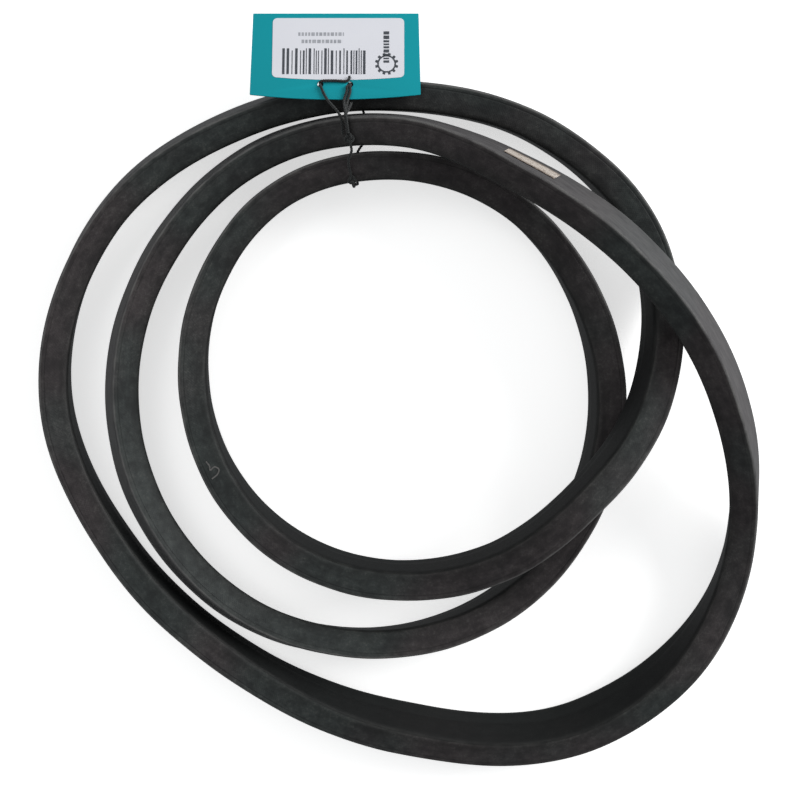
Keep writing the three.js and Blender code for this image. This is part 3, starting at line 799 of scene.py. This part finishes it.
board, tree = new_material("tag_board")
place = add(tree, "ShaderNodeTexCoord").outputs["Object"]
tone = mix_colour(tree, mm_noise(tree, place, 30, 3.0), "#00909b", "#0096a2")
tone = mix_colour(tree, maths(tree, "MULTIPLY", ramp(tree, mm_noise(tree, place, 1.5, 5.0, 0.75),
                                                     0.62, 0.85), 0.15), tone, "#5fb0b4")
bump = add(tree, "ShaderNodeBump", {"Height": mm_noise(tree, place, 0.6, 4.0), "Strength": 0.15,
                                    "Distance": 0.05 * MM})
finish_material(tree, {"Base Color": tone, "Roughness": 0.6, "Specular IOR Level": 0.2,
                       "Normal": bump.outputs["Normal"]})
bow = [(TAG_LENGTH * (i / 24 - 0.5), -4 * TAG_BOW * (i / 24) * (1 - i / 24)) for i in range(25)]
card = flat_piece("hang_card", [
    bow + [(TAG_OUTER_LENGTH / 2, TAG_HEIGHT), (-TAG_OUTER_LENGTH / 2, TAG_HEIGHT)],
    circle(-HOLE_SPACING / 2, HOLE_INSET, HOLE / 2), circle(HOLE_SPACING / 2, HOLE_INSET, HOLE / 2)],
    CARD, 0, board, CARD_ROUND)
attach(card, "tag")
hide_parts("tag_card")

# The sticker and its print.
# A white self-adhesive label with rounded corners. The print is generic: a code of bars,
# two lines and a column of small marks, and a round badge.
STICKER_WIDTH, STICKER_HEIGHT, STICKER_CORNER = 57.5, 27.5, 2.0
STICKER_X, STICKER_Y, STICKER_BOW = 1.2, 7.8, 1.2
STICKER, STICKER_LIFT = 0.12, 0.62
INK, INK_LIFT = 0.03, 0.745
BADGE_X, BADGE_Y, BADGE_BORE, BADGE_ROOT, BADGE_TIP, TEETH = 22.3, 14.0, 3.4, 4.1, 5.1, 12
sticker_paper, tree = new_material("sticker_paper")
place = add(tree, "ShaderNodeTexCoord").outputs["Object"]
tone = mix_colour(tree, mm_noise(tree, place, 25, 3.0), "#d9dae1", "#e2e3e9")
finish_material(tree, {"Base Color": tone, "Roughness": 0.45})
straight = STICKER_WIDTH / 2 - STICKER_CORNER
far_edge = STICKER_HEIGHT - STICKER_CORNER
outline = []
for x, y, start in ((straight, STICKER_CORNER, -90), (straight, far_edge, 0),
                    (-straight, far_edge, 90), (-straight, STICKER_CORNER, 180)):
    for k in range(7):
        turned = math.radians(start + 15 * k)
        outline.append((STICKER_X + x + STICKER_CORNER * math.cos(turned),
                        STICKER_Y + y + STICKER_CORNER * math.sin(turned)))
for i in range(1, 12):
    x = -straight * (1 - i / 6)
    outline.append((STICKER_X + x, STICKER_Y - STICKER_BOW * (1 - (x / straight) ** 2)))
sticker = flat_piece("paper_sticker", [outline], STICKER, STICKER_LIFT, sticker_paper)
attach(sticker, "tag")
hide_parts("tag_sticker")

ink, tree = new_material("print_ink")
place = add(tree, "ShaderNodeTexCoord").outputs["Object"]
tone = mix_colour(tree, mm_noise(tree, place, 2, 4.0), "#2c3036", "#4a4f57")
finish_material(tree, {"Base Color": tone, "Roughness": 0.55})


def bar(x0, y0, x1, y1):
    return [(x0, y0), (x1, y0), (x1, y1), (x0, y1)]


prints = random.Random(11)
shapes = []
x = -23.2
while x < 12.4:
    width = prints.choice((0.4, 0.4, 0.75, 1.1))
    shapes.append(bar(x, 9.2, x + width, 20.2 + prints.choice((0, 0, 1.0))))
    x += width + prints.choice((0.55, 0.8, 1.1))
y = 14.5
while y < 29.0:
    height = prints.uniform(0.7, 1.7)
    shapes.append(bar(20.9, y, 23.4, y + height))
    y += height + 0.5
teeth = []
for k in range(TEETH):
    for f, radius in ((0.2, BADGE_ROOT), (0.3, BADGE_TIP), (0.7, BADGE_TIP), (0.8, BADGE_ROOT)):
        turned = 2 * math.pi * (k + f) / TEETH
        teeth.append((BADGE_X + radius * math.cos(turned), BADGE_Y + radius * math.sin(turned)))
badge = flat_piece("round_badge", [teeth, circle(BADGE_X, BADGE_Y, BADGE_BORE)], INK, INK_LIFT, ink)
marks = flat_piece("printed_marks", shapes, INK, INK_LIFT, ink)
faint_ink, tree = new_material("faint_ink")
place = add(tree, "ShaderNodeTexCoord").outputs["Object"]
tone = mix_colour(tree, mm_noise(tree, place, 2, 4.0), "#85888f", "#b5b7bd")
finish_material(tree, {"Base Color": tone, "Roughness": 0.55})
lines = []
for y, x0, x1 in ((27.0, -16.3, 3.6), (23.6, -14.9, 2.9)):
    x = x0
    while x < x1:
        width = prints.uniform(0.8, 1.7)
        lines.append(bar(x, y, min(x + width, x1), y + 1.6))
        x += width + 0.5
faint_lines = flat_piece("faint_lines", lines, INK, INK_LIFT, faint_ink)
for piece in (badge, marks, faint_lines):
    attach(piece, "tag")

# The bridle.
# The tie string's two ends run on from the knot, over the card's inner border, through
# the punched holes and back, with one short end left lying across the card.
hole_x = HOLE_SPACING / 2
over_card = CARD + LIE - 0.2
past_back = side_back + 1.1
right_tie, left_tie = MIDDLE_TIE - 0.005, MIDDLE_TIE - 0.038
start = over_flank(right_tie, KNOT_OFFSET + KNOT_EDGE - 1.1, LIE + 0.8)
loop = [
    start, on_belt(right_tie, BACK + 0.9, past_back), on_card(hole_x - 0.9, -2.9, over_card + 0.2),
    on_card(hole_x, 1, over_card), on_card(hole_x, 3.4, over_card), on_card(hole_x, HOLE_INSET, 0.3),
    on_card(hole_x - 1.2, HOLE_INSET, -LIE), on_card(1.2 - hole_x, HOLE_INSET, -LIE),
    on_card(-hole_x, HOLE_INSET, 0.3), on_card(0.3 - hole_x, 3.4, over_card),
    on_card(1.2 - hole_x, 1, over_card),
    on_card(3.2 - hole_x, -2.9, over_card + 0.2), on_belt(left_tie, BACK + 0.9, past_back),
    over_flank(left_tie, KNOT_OFFSET + KNOT_EDGE - 1.4, LIE + 0.8),
]
second = [
    over_flank(right_tie + 0.008, KNOT_OFFSET + KNOT_EDGE - 1.0, LIE + 1.4),
    on_belt(right_tie + 0.006, BACK + 1.2, past_back + 0.3),
    on_card(hole_x - 2.5, -2.9, over_card + 0.3),
    on_card(hole_x - 1.45, 1, over_card + 0.1), on_card(hole_x - 1.3, 3.2, over_card + 0.1),
    on_card(hole_x - 0.6, HOLE_INSET - 0.7, 0.4), on_card(hole_x - 1.6, HOLE_INSET - 0.9, -LIE),
    on_card(1.6 - hole_x, HOLE_INSET + 0.9, -LIE), on_card(-hole_x - 0.2, HOLE_INSET + 0.9, 0.2),
    on_card(0.6 - hole_x, HOLE_INSET + 1.2, over_card), on_card(0, HOLE_INSET + 1.4, over_card),
    on_card(hole_x - 1.2, HOLE_INSET + 1.3, over_card),
    on_card(hole_x - 0.4, HOLE_INSET + 2.2, over_card + 0.1),
    on_card(hole_x - 0.3, HOLE_INSET + 3.4, over_card + 0.1),
]
bridle = string_piece("bridle_string", [(smooth_path(loop), False), (smooth_path(second), False)],
                      STRING, cotton)
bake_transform(bridle)
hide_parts("tag_bridle_string")
